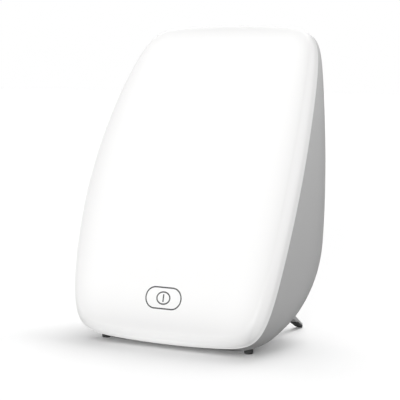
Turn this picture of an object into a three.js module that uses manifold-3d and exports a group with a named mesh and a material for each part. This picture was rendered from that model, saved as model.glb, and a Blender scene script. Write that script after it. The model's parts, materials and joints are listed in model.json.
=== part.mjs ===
// A compact light therapy lamp: an opal front shell over rows of LEDs, closed by a deep
// grey housing that stands on two front feet and a fold-out rear stand.
// Millimetres, +Z up, the lit face looks towards -Y.

import * as THREE from 'three';
import { mergeVertices } from 'three/addons/utils/BufferGeometryUtils.js';
import Module from 'manifold-3d';

const wasm = await Module();
wasm.setup();

const { degToRad, lerp, clamp } = THREE.MathUtils;

// Driving sizes of the parting edge, where the screen meets the housing.
// The edge is a rounded outline drawn on a sheet that is bent about X.
const face_length = 250;
const face_half_width = 86.3;
const edge_height = 3.5;
const lean_bottom = degToRad(14.3);
const lean_top = degToRad(38);
const top_bow = 3.6;
const bottom_bow = 3.8;
const outline_power = 10.6;
const taper_share = 0.036;
const waist_share = 0.152;

// Driving sizes of the housing's rear surface
const housing_depth = 108;
const top_depth = 4.5;
const knee_height = 71;
const top_round = 10;
const belly_drop = 2.2;
const belly_run = 9;
const belly_fade_height = 40;
const corner_fill_height = 12;
const knee_up_power = 2;
const knee_back_power = 1.95;
const top_round_power = 2.5;
const section_width_powers = [8, 2.3];
const section_depth_powers = [6.4, 3.3];

// Walls, the gap between pieces that touch, the bite of pieces that fuse, cutting overrun
const housing_wall = 2.4;
const screen_wall = 2.4;
const gap = 0.3;
const bite = 0.2;
const overrun = 6;

// Screen: a straight rim, a rounded edge and a shallow crown, with a tongue that laps
// inside the housing's rim
const screen_rim = 2.6;
const screen_rim_draft = 0.5;
const screen_edge_radius = 7.8;
const screen_edge_sweep = degToRad(84.5);
const screen_crown = 4.6;
const tongue_length = 4;
const tongue_thickness = 1;

// Light tray, its screw bosses, and its LED strips
const tray_depth = 5.5;
const tray_wall = 1.5;
const tray_clearance = 0.5;
const tray_boss_radius = 4.2;
const tray_boss_front = 4.6;
const tray_boss_back = 3.4;
const strip_pitch = 24;
const strip_first = -62;
const strip_height = 9;
const strip_thickness = 1;
const strip_margin = 17;
const led_pitch = 22;
const led_size = [3.5, 0.9, 2.8];

// Posts of the housing that carry the tray, one pair low and one pair high
const post_radius = 4;
const post_side_margin = 13;
const post_places = [-50, 70];
const gusset_thickness = 1.6;

// Screws, all of one size
const screw_shank_radius = 1.45;
const screw_length = 9;
const screw_tip_length = 1.5;
const screw_head_radius = 2.8;
const screw_crown_radius = 1.9;
const screw_head_height = 1.8;
const screw_head_edge = 0.9;

// Touch board behind the printed key, on pegs of the tray, with a sensing pad
const touch_place = -93;
const touch_board_size = [34, 1.2, 15];
const touch_board_forward = 1.3;
const touch_peg_radius = 2.2;
const touch_pin_radius = 0.9;
const touch_peg_margin = 3;
const touch_pad_radius = 5.5;

// Control board, upright behind the tray, on standoffs of the rear wall
const board_size = [72, 1.6, 46];
const board_height = 78;
const board_to_rear = 16.6;
const board_hole_margin = 5;
const standoff_radius = 3.6;
const capacitor_radius = 5;
const capacitor_length = 16;
const capacitor_spacing = 14;
const coil_radius = 7;
const coil_length = 9;
const component_rise = 9;
const coil_drop = 11;
const chip_size = [10, 1.6, 10];
const plug_size = [8, 6, 6];
const part_to_screw = 1.2;
const plug_rise = 14;

// Power socket on the board's rear side, its nose in a hole of the rear wall
const jack_size = [9, 12, 11];
const jack_drop = 12;
const jack_nose_radius = 4;
const jack_bore_radius = 3.2;
const jack_bore_depth = 10;
const jack_pin_radius = 1;
const jack_pin_length = 8.5;
const jack_sunk = 0.6;
const jack_recess_radius = 5.6;
const jack_recess_depth = 1;

// Leads from the control board to an LED strip and to the touch board
const lead_radius = 1.1;
const lead_hole_radius = 2.2;
const lead_straight = 10;
const lead_strip = 2;
const touch_lead_place = 8;

// Front feet, in round seats in the underside
const foot_side_margin = 27.3;
const foot_back = 14.5;
const foot_radius = 3.2;
const foot_chamfer = 0.8;
const foot_seat_height = 8.6;
const foot_seat_wall = 2;

// Fold-out stand: two legs on one cross bar that turns about X
const stand_back = 72;
const stand_height = 27.5;
const stand_angle = degToRad(27);
const fold_slope = degToRad(27);
const leg_spacing = 100;
const leg_width = 6;
const leg_low_side = 3.4;
const leg_high_side = 3.2;
const leg_tip_thickness = 1.5;
const hub_radius = 3.8;
const bar_radius = 3;
const tip_length = 12;
const tip_proud = 0.7;
const tip_let_in = 0.8;
const tip_wrap = 1.2;
const stand_clearance = 0.6;
const pocket_wall = 2;
const pin_radius = 1.5;
const pin_length = 10;
const pin_in_leg = 4.4;
const pin_boss_radius = 4;

// Facets
const ring_steps = 52;
const corner_crowding_share = 0.6;
const knee_crowding_share = 0.12;
const section_steps = 18;
const edge_steps = 5;
const crown_shares = [0.84, 0.5];
const sheet_shares = [0.7];
const round_steps = 16;
const small_steps = 10;
const screw_steps = 9;
const lead_sides = 8;
const lead_steps = 11;

// Colours, roughness and metalness
const finishes = {
  opal: { color: 0xf6f6f2, roughness: 0.35, metalness: 0 },
  grey_plastic: { color: 0xb4b5b6, roughness: 0.5, metalness: 0 },
  white_plastic: { color: 0xf2f2ee, roughness: 0.6, metalness: 0 },
  black_plastic: { color: 0x1c1c1e, roughness: 0.45, metalness: 0 },
  rubber: { color: 0x2a2a2c, roughness: 0.85, metalness: 0 },
  foam: { color: 0x3c3c40, roughness: 0.95, metalness: 0 },
  steel: { color: 0xb9bcc0, roughness: 0.3, metalness: 1 },
  white_board: { color: 0xe9ebe6, roughness: 0.5, metalness: 0 },
  green_board: { color: 0x1f5a38, roughness: 0.5, metalness: 0 },
  red_wire: { color: 0xc83a2e, roughness: 0.5, metalness: 0 },
  blue_wire: { color: 0x2e5ac8, roughness: 0.5, metalness: 0 },
};

// Turning geometry into closed solids and back

function signedVolume(points, faces) {
  const corner = (index) => new THREE.Vector3().fromArray(points, index * 3);
  return faces.reduce((sum, [a, b, c]) => sum + corner(a).dot(corner(b).cross(corner(c))), 0);
}

// Shared vertices are merged and the faces turned outwards.
function solidOf(geometry) {
  const bare = geometry.clone();
  bare.deleteAttribute('uv');
  bare.deleteAttribute('normal');
  const merged = mergeVertices(bare);
  const points = merged.attributes.position.array;
  const index = merged.index.array;
  const faces = [];
  for (let i = 0; i < index.length; i += 3) {
    const [a, b, c] = [index[i], index[i + 1], index[i + 2]];
    if (a !== b && b !== c && c !== a) faces.push([a, b, c]);
  }
  const outward = signedVolume(points, faces) > 0;
  const vertProperties = new Float32Array(points);
  const triVerts = new Uint32Array(faces.flatMap(([a, b, c]) => (outward ? [a, b, c] : [a, c, b])));
  return new wasm.Manifold(new wasm.Mesh({ numProp: 3, vertProperties, triVerts }));
}

function unite(first, ...others) {
  return others.reduce((sum, other) => sum.add(other), first);
}

function cut(first, ...others) {
  return others.reduce((rest, other) => rest.subtract(other), first);
}

function piece(name, solid, finish) {
  const { vertProperties, triVerts } = solid.getMesh();
  const geometry = new THREE.BufferGeometry();
  geometry.setAttribute('position', new THREE.BufferAttribute(vertProperties, 3));
  geometry.setIndex(new THREE.BufferAttribute(triVerts, 1));
  geometry.computeVertexNormals();
  const mesh = new THREE.Mesh(geometry, new THREE.MeshStandardMaterial(finishes[finish]));
  mesh.name = name;
  return mesh;
}

// Plain solids for posts, holes and blocks

function block(size, centre) {
  return solidOf(new THREE.BoxGeometry(...size).translate(...centre));
}

function rodAlongX(radius, from, to, y, z, steps = round_steps) {
  const rod = new THREE.CylinderGeometry(radius, radius, to - from, steps);
  return solidOf(rod.rotateZ(Math.PI / 2).translate((from + to) / 2, y, z));
}

function rodAlongY(radius, from, to, x, z, steps = round_steps) {
  const rod = new THREE.CylinderGeometry(radius, radius, to - from, steps);
  return solidOf(rod.translate(x, (from + to) / 2, z));
}

function rodAlongZ(radius, from, to, x, y, steps = round_steps) {
  const rod = new THREE.CylinderGeometry(radius, radius, to - from, steps);
  return solidOf(rod.rotateX(Math.PI / 2).translate(x, y, (from + to) / 2));
}

// A side-view outline in Y and Z, extruded along X
function sidePrism(outline, from, to) {
  const settings = { depth: to - from, bevelEnabled: false };
  const prism = new THREE.ExtrudeGeometry(new THREE.Shape(outline), settings);
  const turn = new THREE.Matrix4().set(0, 0, 1, from, 1, 0, 0, 0, 0, 1, 0, 0, 0, 0, 0, 1);
  return solidOf(prism.applyMatrix4(turn));
}

// A plan-view outline in X and Y, extruded along Z
function planPrism(shape, from, to) {
  const settings = { depth: to - from, bevelEnabled: false, curveSegments: small_steps };
  return solidOf(new THREE.ExtrudeGeometry(shape, settings).translate(0, 0, from));
}

// The bent sheet and the outline drawn on it

const sheet_bend = (lean_top - lean_bottom) / face_length;

function leanAt(v) {
  return lean_bottom + sheet_bend * (v + face_length / 2);
}

// u runs across, v up the face from its middle, forward off the sheet, back along Y.
function onSheet(u, v, forward = 0, back = 0) {
  const lean = leanAt(v);
  const y = (Math.cos(lean_bottom) - Math.cos(lean)) / sheet_bend;
  const z = (Math.sin(lean) - Math.sin(lean_bottom)) / sheet_bend;
  return new THREE.Vector3(
    u,
    y - forward * Math.cos(lean) + back,
    z + forward * Math.sin(lean) + edge_height,
  );
}

function outlineAt(turn, inset) {
  const [c, s] = [Math.cos(turn), Math.sin(turn)];
  const squareness = Math.abs(c) ** outline_power + Math.abs(s) ** outline_power;
  const reach = squareness ** (-1 / outline_power);
  const [across, up] = [reach * c, reach * s];
  const bow = s > 0 ? top_bow : bottom_bow;
  const half_height = face_length / 2 - bow - inset;
  const narrowing = 1 - taper_share * up - waist_share * up * up;
  return [
    (face_half_width - inset) * across * narrowing,
    up * (half_height + bow * (1 - across * across)),
  ];
}

// The ring starts at the bottom and runs up the +X side. Its steps crowd at the corners
// and beside the knee of the housing's rear.
function outlineRing(inset, forward, back = 0, share = 1) {
  return Array.from({ length: ring_steps }, (_, i) => {
    const even = (2 * Math.PI * i) / ring_steps;
    const corners = (corner_crowding_share * Math.sin(4 * even)) / 4;
    const knee = (knee_crowding_share * Math.sin(3 * even)) / 3;
    const [u, v] = outlineAt(even + corners + knee - Math.PI / 2, inset);
    return onSheet(u * share, v * share, forward, back);
  });
}

function halfWidthAt(v) {
  const up = (2 * v) / face_length;
  const side = (1 - Math.abs(up) ** outline_power) ** (1 / outline_power);
  return face_half_width * side * (1 - taper_share * up - waist_share * up * up);
}

// Closed skins built face by face
class Skin {
  constructor() {
    this.points = [];
    this.index = [];
  }

  add(point) {
    this.points.push(point);
    return this.points.length - 1;
  }

  addRing(ring) {
    return ring.map((point) => this.add(point));
  }

  quad(a, b, c, d) {
    this.index.push(a, b, c, a, c, d);
  }

  band(ring, next) {
    ring.forEach((corner, i) => {
      const j = (i + 1) % ring.length;
      this.quad(corner, ring[j], next[j], next[i]);
    });
  }

  fan(ring, pole) {
    ring.forEach((corner, i) => this.index.push(corner, ring[(i + 1) % ring.length], pole));
  }

  solid() {
    return solidOf(new THREE.BufferGeometry().setFromPoints(this.points).setIndex(this.index));
  }
}

function loft(rings, first_pole, last_pole) {
  const skin = new Skin();
  const rows = rings.map((ring) => skin.addRing(ring));
  rows.slice(1).forEach((row, i) => skin.band(rows[i], row));
  skin.fan([...rows[0]].reverse(), skin.add(first_pole));
  skin.fan(rows.at(-1), skin.add(last_pole));
  return skin.solid();
}

// Rings that close an outline along the sheet, from its rim to its middle
function sheetRings(inset, back) {
  return sheet_shares.map((share) => outlineRing(inset, 0, back, share));
}

// The outline extruded straight back along Y, with both ends bent like the sheet
function edgePrism(inset, from, to) {
  const rings = [
    ...sheetRings(inset, from).reverse(),
    outlineRing(inset, 0, from),
    outlineRing(inset, 0, to),
    ...sheetRings(inset, to),
  ];
  return loft(rings, onSheet(0, 0, 0, from), onSheet(0, 0, 0, to));
}

// The housing's outer form, or the same form drawn in by a wall

function heightFrame(inset) {
  const ends = [-Math.PI / 2, Math.PI / 2].map((turn) => outlineAt(turn, inset));
  const [low, high] = ends.map(([u, v]) => onSheet(u, v));
  return { inset, low, high };
}

const outer_frame = heightFrame(0);

// Y of the rear surface at the middle of the width
function rearAt(frame, z) {
  const back = housing_depth - frame.inset;
  if (z < knee_height) {
    const below = clamp((knee_height - z) / (knee_height - frame.low.z), 0, 1);
    const share = (1 - below ** knee_up_power) ** (1 / knee_back_power);
    return lerp(frame.low.y, back, share);
  }
  const top_back = outer_frame.high.y + top_depth - frame.inset;
  const above = (z - knee_height) / (frame.high.z - knee_height);
  return lerp(back, top_back, above * above);
}

function depthAt(frame, edge) {
  const round = top_round - frame.inset;
  const into_round = clamp((edge.z - frame.high.z + round) / round, 0, 1);
  const rounding = (1 - into_round ** top_round_power) ** (1 / top_round_power);
  return (rearAt(frame, edge.z) - edge.y) * rounding;
}

// The belly drops below the edge, and fills the bottom corners so that it is nearly flat.
function bellyDropAt(above_low) {
  const fade = clamp(1 - above_low / belly_fade_height, 0, 1);
  const corner = clamp(1 - above_low / corner_fill_height, 0, 1);
  return belly_drop * fade * fade + above_low * corner * corner;
}

// A level section runs from the edge on the +X side round the rear to the other side.
function sectionPoint(frame, edge, angle) {
  const rise = (edge.z - frame.low.z) / (frame.high.z - frame.low.z);
  const [width_power, depth_power] = [
    lerp(...section_width_powers, rise),
    lerp(...section_depth_powers, rise),
  ];
  const cosine = Math.cos(angle);
  const across = edge.x * Math.sign(cosine) * Math.abs(cosine) ** (2 / width_power);
  const behind = depthAt(frame, edge) * Math.sin(angle) ** (2 / depth_power);
  const drop = bellyDropAt(edge.z - frame.low.z);
  const run = Math.sin((Math.PI / 2) * clamp(behind / belly_run, 0, 1));
  return new THREE.Vector3(across, edge.y + behind, edge.z - drop * run);
}

// With a lead, the open front reaches that far ahead of the parting edge.
function housingForm(inset, lead = 0) {
  const frame = heightFrame(inset);
  const skin = new Skin();
  const edge = outlineRing(inset, 0);
  const rim = skin.addRing(edge);
  const top = ring_steps / 2;
  let row = Array(section_steps + 1).fill(rim[0]);
  for (let i = 1; i <= top; i += 1) {
    const next = row.map((_, j) => {
      if (i === top || j === 0) return rim[i];
      if (j === section_steps) return rim[ring_steps - i];
      return skin.add(sectionPoint(frame, edge[i], (Math.PI * j) / section_steps));
    });
    row.slice(1).forEach((corner, j) => skin.quad(row[j], corner, next[j + 1], next[j]));
    row = next;
  }
  const front = lead > 0 ? [outlineRing(inset, 0, -lead)] : [];
  const rings = [...front, ...sheetRings(inset, -lead)].map((ring) => skin.addRing(ring));
  [rim, ...rings].slice(0, -1).forEach((ring, i) => skin.band(ring, rings[i]));
  skin.fan(rings.at(-1), skin.add(onSheet(0, 0, 0, -lead)));
  return skin.solid();
}

// Light screen

const tongue_inset = screen_wall - tongue_thickness;

function domeRings(inset) {
  const radius = screen_edge_radius - inset;
  const rings = [outlineRing(screen_rim_draft + inset, screen_rim)];
  for (let i = 1; i <= edge_steps; i += 1) {
    const angle = (screen_edge_sweep * i) / edge_steps;
    const drawn_in = screen_rim_draft + inset + radius * (1 - Math.cos(angle));
    rings.push(outlineRing(drawn_in, screen_rim + radius * Math.sin(angle)));
  }
  const crown_inset = screen_rim_draft + inset + radius * (1 - Math.cos(screen_edge_sweep));
  const crown_base = screen_rim + radius * Math.sin(screen_edge_sweep);
  crown_shares.forEach((share) => {
    const forward = crown_base + screen_crown * (1 - share * share);
    rings.push(outlineRing(crown_inset, forward, 0, share));
  });
  return { rings, pole: onSheet(0, 0, crown_base + screen_crown), crown_inset, crown_base };
}

function lightScreen() {
  const outer = domeRings(0);
  const inner = domeRings(screen_wall);
  const dome = loft(
    [...sheetRings(0, -gap).reverse(), outlineRing(0, 0, -gap), ...outer.rings],
    onSheet(0, 0, 0, -gap),
    outer.pole,
  );
  const tongue = edgePrism(tongue_inset, -tongue_thickness, tongue_length)
    .intersect(housingForm(tongue_inset, overrun));
  const cavity = loft(
    [
      ...sheetRings(screen_wall, overrun).reverse(),
      outlineRing(screen_wall, 0, overrun),
      outlineRing(screen_wall, 0),
      ...inner.rings,
    ],
    onSheet(0, 0, 0, overrun),
    inner.pole,
  );
  return cut(unite(dome, tongue), cavity);
}

// How far in front of the sheet the screen's inner face lies on its centre line
function screenInsideAt(v) {
  const { crown_inset, crown_base } = domeRings(screen_wall);
  const share = v / (face_length / 2 - crown_inset);
  return crown_base + screen_crown * (1 - share * share);
}

// Screws and the places that they share

function screwSolid() {
  const profile = [
    [0, screw_length],
    [screw_shank_radius, screw_length - screw_tip_length],
    [screw_shank_radius, 0],
    [screw_head_radius, 0],
    [screw_head_radius, -screw_head_edge],
    [screw_crown_radius, -screw_head_height],
    [0, -screw_head_height],
  ].map(([radius, y]) => new THREE.Vector2(radius, y));
  return solidOf(new THREE.LatheGeometry(profile, screw_steps));
}

function screws(name, places) {
  return places.map((place, i) => {
    const screw = piece(`${name}_${i + 1}`, screwSolid(), 'steel');
    screw.position.copy(place).y -= gap;
    return screw;
  });
}

// Screw holes run back along Y from each place, with room round the shank.
function screwHoles(places) {
  const length = screw_length + overrun;
  return places.map(({ x, y, z }) => (
    rodAlongY(screw_shank_radius + gap, y - overrun, y - overrun + length, x, z, small_steps)
  ));
}

const post_seats = post_places.flatMap((v) => [-1, 1].map((side) => (
  onSheet(side * (halfWidthAt(v) - post_side_margin), v, 0, tray_depth + tray_wall)
)));
const tray_screw_places = post_seats.map((seat) => seat.clone().setY(seat.y - tray_boss_front));

const jack_height = board_height - jack_drop;
const board_y = rearAt(outer_frame, jack_height - jack_size[2] / 2) - board_to_rear;
const beside_screws = board_size[0] / 2 - board_hole_margin - screw_head_radius - part_to_screw;
const plug_place = beside_screws - plug_size[0] / 2;
const chip_place = beside_screws - chip_size[0] / 2;
const board_front = board_y - board_size[1] / 2;
const board_back = board_y + board_size[1] / 2;
const board_screw_places = [-1, 1].flatMap((up) => [-1, 1].map((side) => new THREE.Vector3(
  side * (board_size[0] / 2 - board_hole_margin),
  board_front,
  board_height + up * (board_size[2] / 2 - board_hole_margin),
)));

// Round seats in the underside for the front feet

const both_sides = [-1, 1];
const foot_place = face_half_width - foot_side_margin;
const foot_seat_outer = foot_radius + gap + foot_seat_wall;
const foot_seat_roof = foot_seat_height + foot_seat_wall;

function footSeats(radius, from, to) {
  return both_sides.map((side) => (
    rodAlongZ(radius, from, to, side * foot_place, foot_back)
  ));
}

// Light tray: a dish bent like the sheet, with bosses, pegs and lead holes

function rodOffSheet(radius, u, v, from, to, back = 0) {
  const rod = new THREE.CylinderGeometry(radius, radius, to - from, small_steps);
  rod.rotateX(-leanAt(v));
  const middle = onSheet(u, v, (from + to) / 2, back);
  return solidOf(rod.translate(...middle.toArray()));
}

const peg_places = both_sides.map((side) => side * (touch_board_size[0] / 2 - touch_peg_margin));
const touch_board_front = touch_board_forward + touch_board_size[1];
const led_lead_end = {
  u: -plug_place,
  v: strip_first + lead_strip * strip_pitch,
  forward: 0,
  back: tray_depth,
};
const touch_lead_end = {
  u: touch_lead_place,
  v: touch_place,
  forward: touch_board_forward - gap,
  back: 0,
};

function lightTray() {
  const rim_inset = housing_wall + tray_clearance;
  const dish = cut(
    edgePrism(rim_inset, tongue_length + gap, tray_depth + tray_wall),
    edgePrism(rim_inset + tray_wall, -overrun, tray_depth),
  );
  const bosses = post_seats.map(({ x, y, z }) => (
    rodAlongY(tray_boss_radius, y - tray_boss_front, y + tray_boss_back, x, z, small_steps)
  ));
  const pegs = peg_places.flatMap((u) => [
    rodOffSheet(touch_peg_radius, u, touch_place, -tray_depth - bite, touch_board_forward - gap),
    rodOffSheet(touch_pin_radius, u, touch_place, -tray_depth, touch_board_front + gap),
  ]);
  const lead_holes = [led_lead_end, touch_lead_end].map(({ u, v, back }) => (
    rodOffSheet(lead_hole_radius, u, v, -tray_depth - overrun, 0, back)
  ));
  const limit = housingForm(rim_inset, overrun);
  const tray = unite(dish.intersect(limit), ...bosses, ...pegs);
  const seat_room = footSeats(foot_seat_outer + gap, 0, foot_seat_roof + gap);
  return cut(tray, ...screwHoles(tray_screw_places), ...lead_holes, ...seat_room);
}

// LED strips: each lies flat on the tray's floor and carries a row of LEDs

function stripSolid(v) {
  const half = halfWidthAt(v) - strip_margin;
  const count = 2 * Math.floor(half / led_pitch) + 1;
  const board = block([2 * half, strip_thickness, strip_height], [0, 0, 0]);
  const front = -(strip_thickness + led_size[1]) / 2;
  const leds = Array.from({ length: count }, (_, i) => {
    const u = (i - (count - 1) / 2) * led_pitch;
    return block([led_size[0], led_size[1] + bite, led_size[2]], [u, front + bite / 2, 0]);
  });
  return unite(board, ...leds);
}

function layOnSheet(mesh, v, forward, back = 0) {
  mesh.position.copy(onSheet(0, v, forward, back));
  mesh.rotation.x = -leanAt(v);
  return mesh;
}

const strip_room = face_length / 2 - strip_margin - strip_first;
const strip_count = Math.floor(strip_room / strip_pitch) + 1;

function ledStrips() {
  return Array.from({ length: strip_count }, (_, i) => {
    const v = strip_first + i * strip_pitch;
    const strip = piece(`led_strip_${i + 1}`, stripSolid(v), 'white_board');
    return layOnSheet(strip, v, gap + strip_thickness / 2, tray_depth);
  });
}

// Touch key: a small board on the tray's pegs, with a foam pad against the screen

function touchBoardSolid() {
  const board = block(touch_board_size, [0, 0, 0]);
  const holes = peg_places.map((u) => (
    rodAlongY(touch_pin_radius + gap, -overrun, overrun, u, 0, small_steps)
  ));
  return cut(board, ...holes);
}

function touchKey() {
  const board = piece('touch_board', touchBoardSolid(), 'green_board');
  layOnSheet(board, touch_place, touch_board_forward + touch_board_size[1] / 2);
  const pad_back = touch_board_front + gap;
  const pad_front = screenInsideAt(touch_place - touch_pad_radius) - gap;
  const thickness = pad_front - pad_back;
  const pad = piece(
    'touch_pad',
    rodAlongY(touch_pad_radius, -thickness / 2, thickness / 2, 0, 0),
    'foam',
  );
  layOnSheet(pad, touch_place, (pad_back + pad_front) / 2);
  return [board, pad];
}

// Control board with its parts

function onBoard(size, x, rise) {
  const y = board_front - size[1] / 2 + bite / 2;
  return block([size[0], size[1] + bite, size[2]], [x, y, board_height + rise]);
}

function controlBoard() {
  const board = block(board_size, [0, board_y, board_height]);
  const upper = board_height + component_rise;
  const capacitors = both_sides.map((side) => (
    rodAlongY(
      capacitor_radius,
      board_front - capacitor_length,
      board_front + bite,
      (side * capacitor_spacing) / 2,
      upper,
      small_steps,
    )
  ));
  const coil = rodAlongY(
    coil_radius,
    board_front - coil_length,
    board_front + bite,
    0,
    board_height - coil_drop,
    round_steps,
  );
  const chips = both_sides.map((side) => onBoard(chip_size, side * chip_place, -coil_drop));
  const plugs = both_sides.map((side) => onBoard(plug_size, side * plug_place, plug_rise));
  const populated = unite(board, ...capacitors, coil, ...chips, ...plugs);
  return cut(populated, ...screwHoles(board_screw_places));
}

// Power socket

const jack_body_front = board_back + gap;
const jack_body_back = jack_body_front + jack_size[1];
const jack_mouth = rearAt(outer_frame, jack_height) - jack_sunk;

function dcJack() {
  const middle = (jack_body_front + jack_body_back) / 2;
  const body = block(jack_size, [0, middle, jack_height]);
  const nose = rodAlongY(jack_nose_radius, middle, jack_mouth, 0, jack_height);
  const bore_front = jack_mouth - jack_bore_depth;
  const bore = rodAlongY(jack_bore_radius, bore_front, jack_mouth + overrun, 0, jack_height);
  return cut(unite(body, nose), bore);
}

function jackPin() {
  const front = jack_mouth - jack_bore_depth + gap;
  const back = front + jack_pin_length;
  return rodAlongY(jack_pin_radius, front, back, 0, jack_height, small_steps);
}

// Leads, each one tube along a smooth route from a plug to a hole in the tray

function leadAlong(start, end) {
  const facing = new THREE.Vector3(0, Math.cos(leanAt(end.v)), -Math.sin(leanAt(end.v)));
  const stop = onSheet(end.u, end.v, end.forward, end.back);
  const route = new THREE.CatmullRomCurve3([
    start,
    start.clone().setY(start.y - lead_straight),
    stop.clone().addScaledVector(facing, lead_straight),
    stop,
  ]);
  const section = new THREE.Shape(Array.from({ length: lead_sides }, (_, i) => {
    const turn = (2 * Math.PI * i) / lead_sides;
    return new THREE.Vector2(lead_radius * Math.cos(turn), lead_radius * Math.sin(turn));
  }));
  const settings = { steps: lead_steps, extrudePath: route, bevelEnabled: false };
  return solidOf(new THREE.ExtrudeGeometry(section, settings));
}

function leads() {
  const plug_front = board_front - plug_size[1] - gap;
  const plug_height = board_height + plug_rise;
  const plug_at = (side) => new THREE.Vector3(side * plug_place, plug_front, plug_height);
  return [
    piece('led_lead', leadAlong(plug_at(-1), led_lead_end), 'red_wire'),
    piece('touch_lead', leadAlong(plug_at(1), touch_lead_end), 'blue_wire'),
  ];
}

// Fold-out stand, drawn with its legs along +Y from the hinge axis at the origin

const tip_low_side = leg_low_side + tip_proud;
const leg_reach = (stand_height - tip_low_side * Math.cos(stand_angle)) / Math.sin(stand_angle);
const leg_tip_high = leg_tip_thickness - leg_low_side;
const leg_outer = (leg_spacing + leg_width) / 2;
const leg_inner = (leg_spacing - leg_width) / 2;

function legPlan(half_width, x, from, round_centre, round_length) {
  const shape = new THREE.Shape();
  shape.moveTo(x - half_width, from);
  shape.lineTo(x + half_width, from);
  shape.lineTo(x + half_width, round_centre);
  shape.absellipse(x, round_centre, half_width, round_length, 0, Math.PI);
  return shape;
}

function points2(pairs) {
  return pairs.map(([y, z]) => new THREE.Vector2(y, z));
}

function standSolid() {
  const low = -leg_low_side;
  const tip_start = leg_reach - tip_length;
  const side_view = points2([
    [0, leg_high_side],
    [0, low],
    [tip_start, low],
    [tip_start, low + tip_let_in],
    [leg_reach, low + tip_let_in],
    [leg_reach, leg_tip_high],
  ]);
  const half_width = leg_width / 2;
  const legs = both_sides.map((side) => {
    const x = (side * leg_spacing) / 2;
    const plan = legPlan(half_width, x, 0, leg_reach - half_width, half_width);
    const blank = sidePrism(side_view, x - leg_width, x + leg_width);
    return blank.intersect(planPrism(plan, -hub_radius, hub_radius));
  });
  const hubs = both_sides.map((side) => {
    const x = (side * leg_spacing) / 2;
    return rodAlongX(hub_radius, x - half_width, x + half_width, 0, 0);
  });
  const bar = rodAlongX(bar_radius, -leg_inner - bite, leg_inner + bite, 0, 0);
  const bores = both_sides.map((side) => {
    const [from, to] = [leg_outer - pin_in_leg - gap, leg_outer + overrun];
    return rodAlongX(pin_radius + gap, ...[side * from, side * to].sort((a, b) => a - b), 0, 0);
  });
  return cut(unite(bar, ...hubs, ...legs), ...bores);
}

// The rubber tip lines the leg's lower side, wraps its end and is cut flat on the table.
function tipSolid(side) {
  const x = (side * leg_spacing) / 2;
  const half_width = leg_width / 2;
  const inner_face = -leg_low_side + tip_let_in - gap;
  const start = leg_reach - tip_length + gap;
  const end = leg_reach + tip_wrap;
  const side_view = points2([
    [start, inner_face],
    [start, -tip_low_side],
    [leg_reach, -tip_low_side],
    [end, tip_wrap * Math.tan(stand_angle) - tip_low_side],
    [end, leg_tip_high - gap],
    [leg_reach - half_width, leg_tip_high - gap],
    [leg_reach - half_width, inner_face],
  ]);
  const round_centre = leg_reach - half_width;
  const plan = legPlan(half_width, x, start, round_centre, end - round_centre);
  const leg_plan = legPlan(half_width + gap, x, 0, round_centre, half_width + gap);
  const blank = sidePrism(side_view, x - leg_width, x + leg_width);
  const shaped = blank.intersect(planPrism(plan, -leg_width, leg_width));
  return cut(shaped, planPrism(leg_plan, inner_face, leg_width));
}

function hingePin(side) {
  const from = side * (leg_outer - pin_in_leg);
  const to = from + side * pin_length;
  const [low, high] = [Math.min(from, to), Math.max(from, to)];
  return rodAlongX(pin_radius, low, high, stand_back, stand_height, small_steps);
}

// The pocket that the stand folds into: a channel for each leg and one for the cross bar

function legHighAt(distance) {
  return lerp(leg_high_side, leg_tip_high, distance / leg_reach);
}

function onHinge(forwards, upwards, direction) {
  const [c, s] = [Math.cos(direction), Math.sin(direction)];
  return [stand_back + forwards * c - upwards * s, stand_height + forwards * s + upwards * c];
}

function legChannel(side, room) {
  const radius = tip_low_side + room;
  const folded = Math.PI + fold_slope;
  const open = -stand_angle;
  const end = leg_reach + tip_wrap + room;
  const stop_room = room - stand_clearance + gap;
  const from_angle = folded - Math.PI / 2;
  const to_angle = open + Math.PI / 2;
  const round = Array.from({ length: small_steps + 1 }, (_, i) => {
    const angle = lerp(from_angle, to_angle, i / small_steps);
    return [stand_back + radius * Math.cos(angle), stand_height + radius * Math.sin(angle)];
  });
  const folded_tip = onHinge(end, -radius, folded);
  const stop_start = onHinge(radius, legHighAt(radius) + stop_room, open);
  const stop_end = onHinge(leg_reach, legHighAt(leg_reach) + stop_room, open);
  const below = -overrun;
  const outline = points2([
    folded_tip,
    ...round,
    stop_start,
    stop_end,
    [stop_end[0], below],
    [folded_tip[0], below],
  ]);
  const x = (side * leg_spacing) / 2;
  const half = leg_width / 2 + room;
  return sidePrism(outline, x - half, x + half);
}

function barChannel(room) {
  const radius = bar_radius + room;
  const round = Array.from({ length: small_steps + 1 }, (_, i) => {
    const angle = (Math.PI * i) / small_steps;
    return [stand_back + radius * Math.cos(angle), stand_height + radius * Math.sin(angle)];
  });
  const outline = points2([...round, [stand_back - radius, -overrun], [stand_back + radius, -overrun]]);
  return sidePrism(outline, -leg_inner - room, leg_inner + room);
}

function pocket(room) {
  return unite(barChannel(room), ...both_sides.map((side) => legChannel(side, room)));
}

// Rear housing

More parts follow.
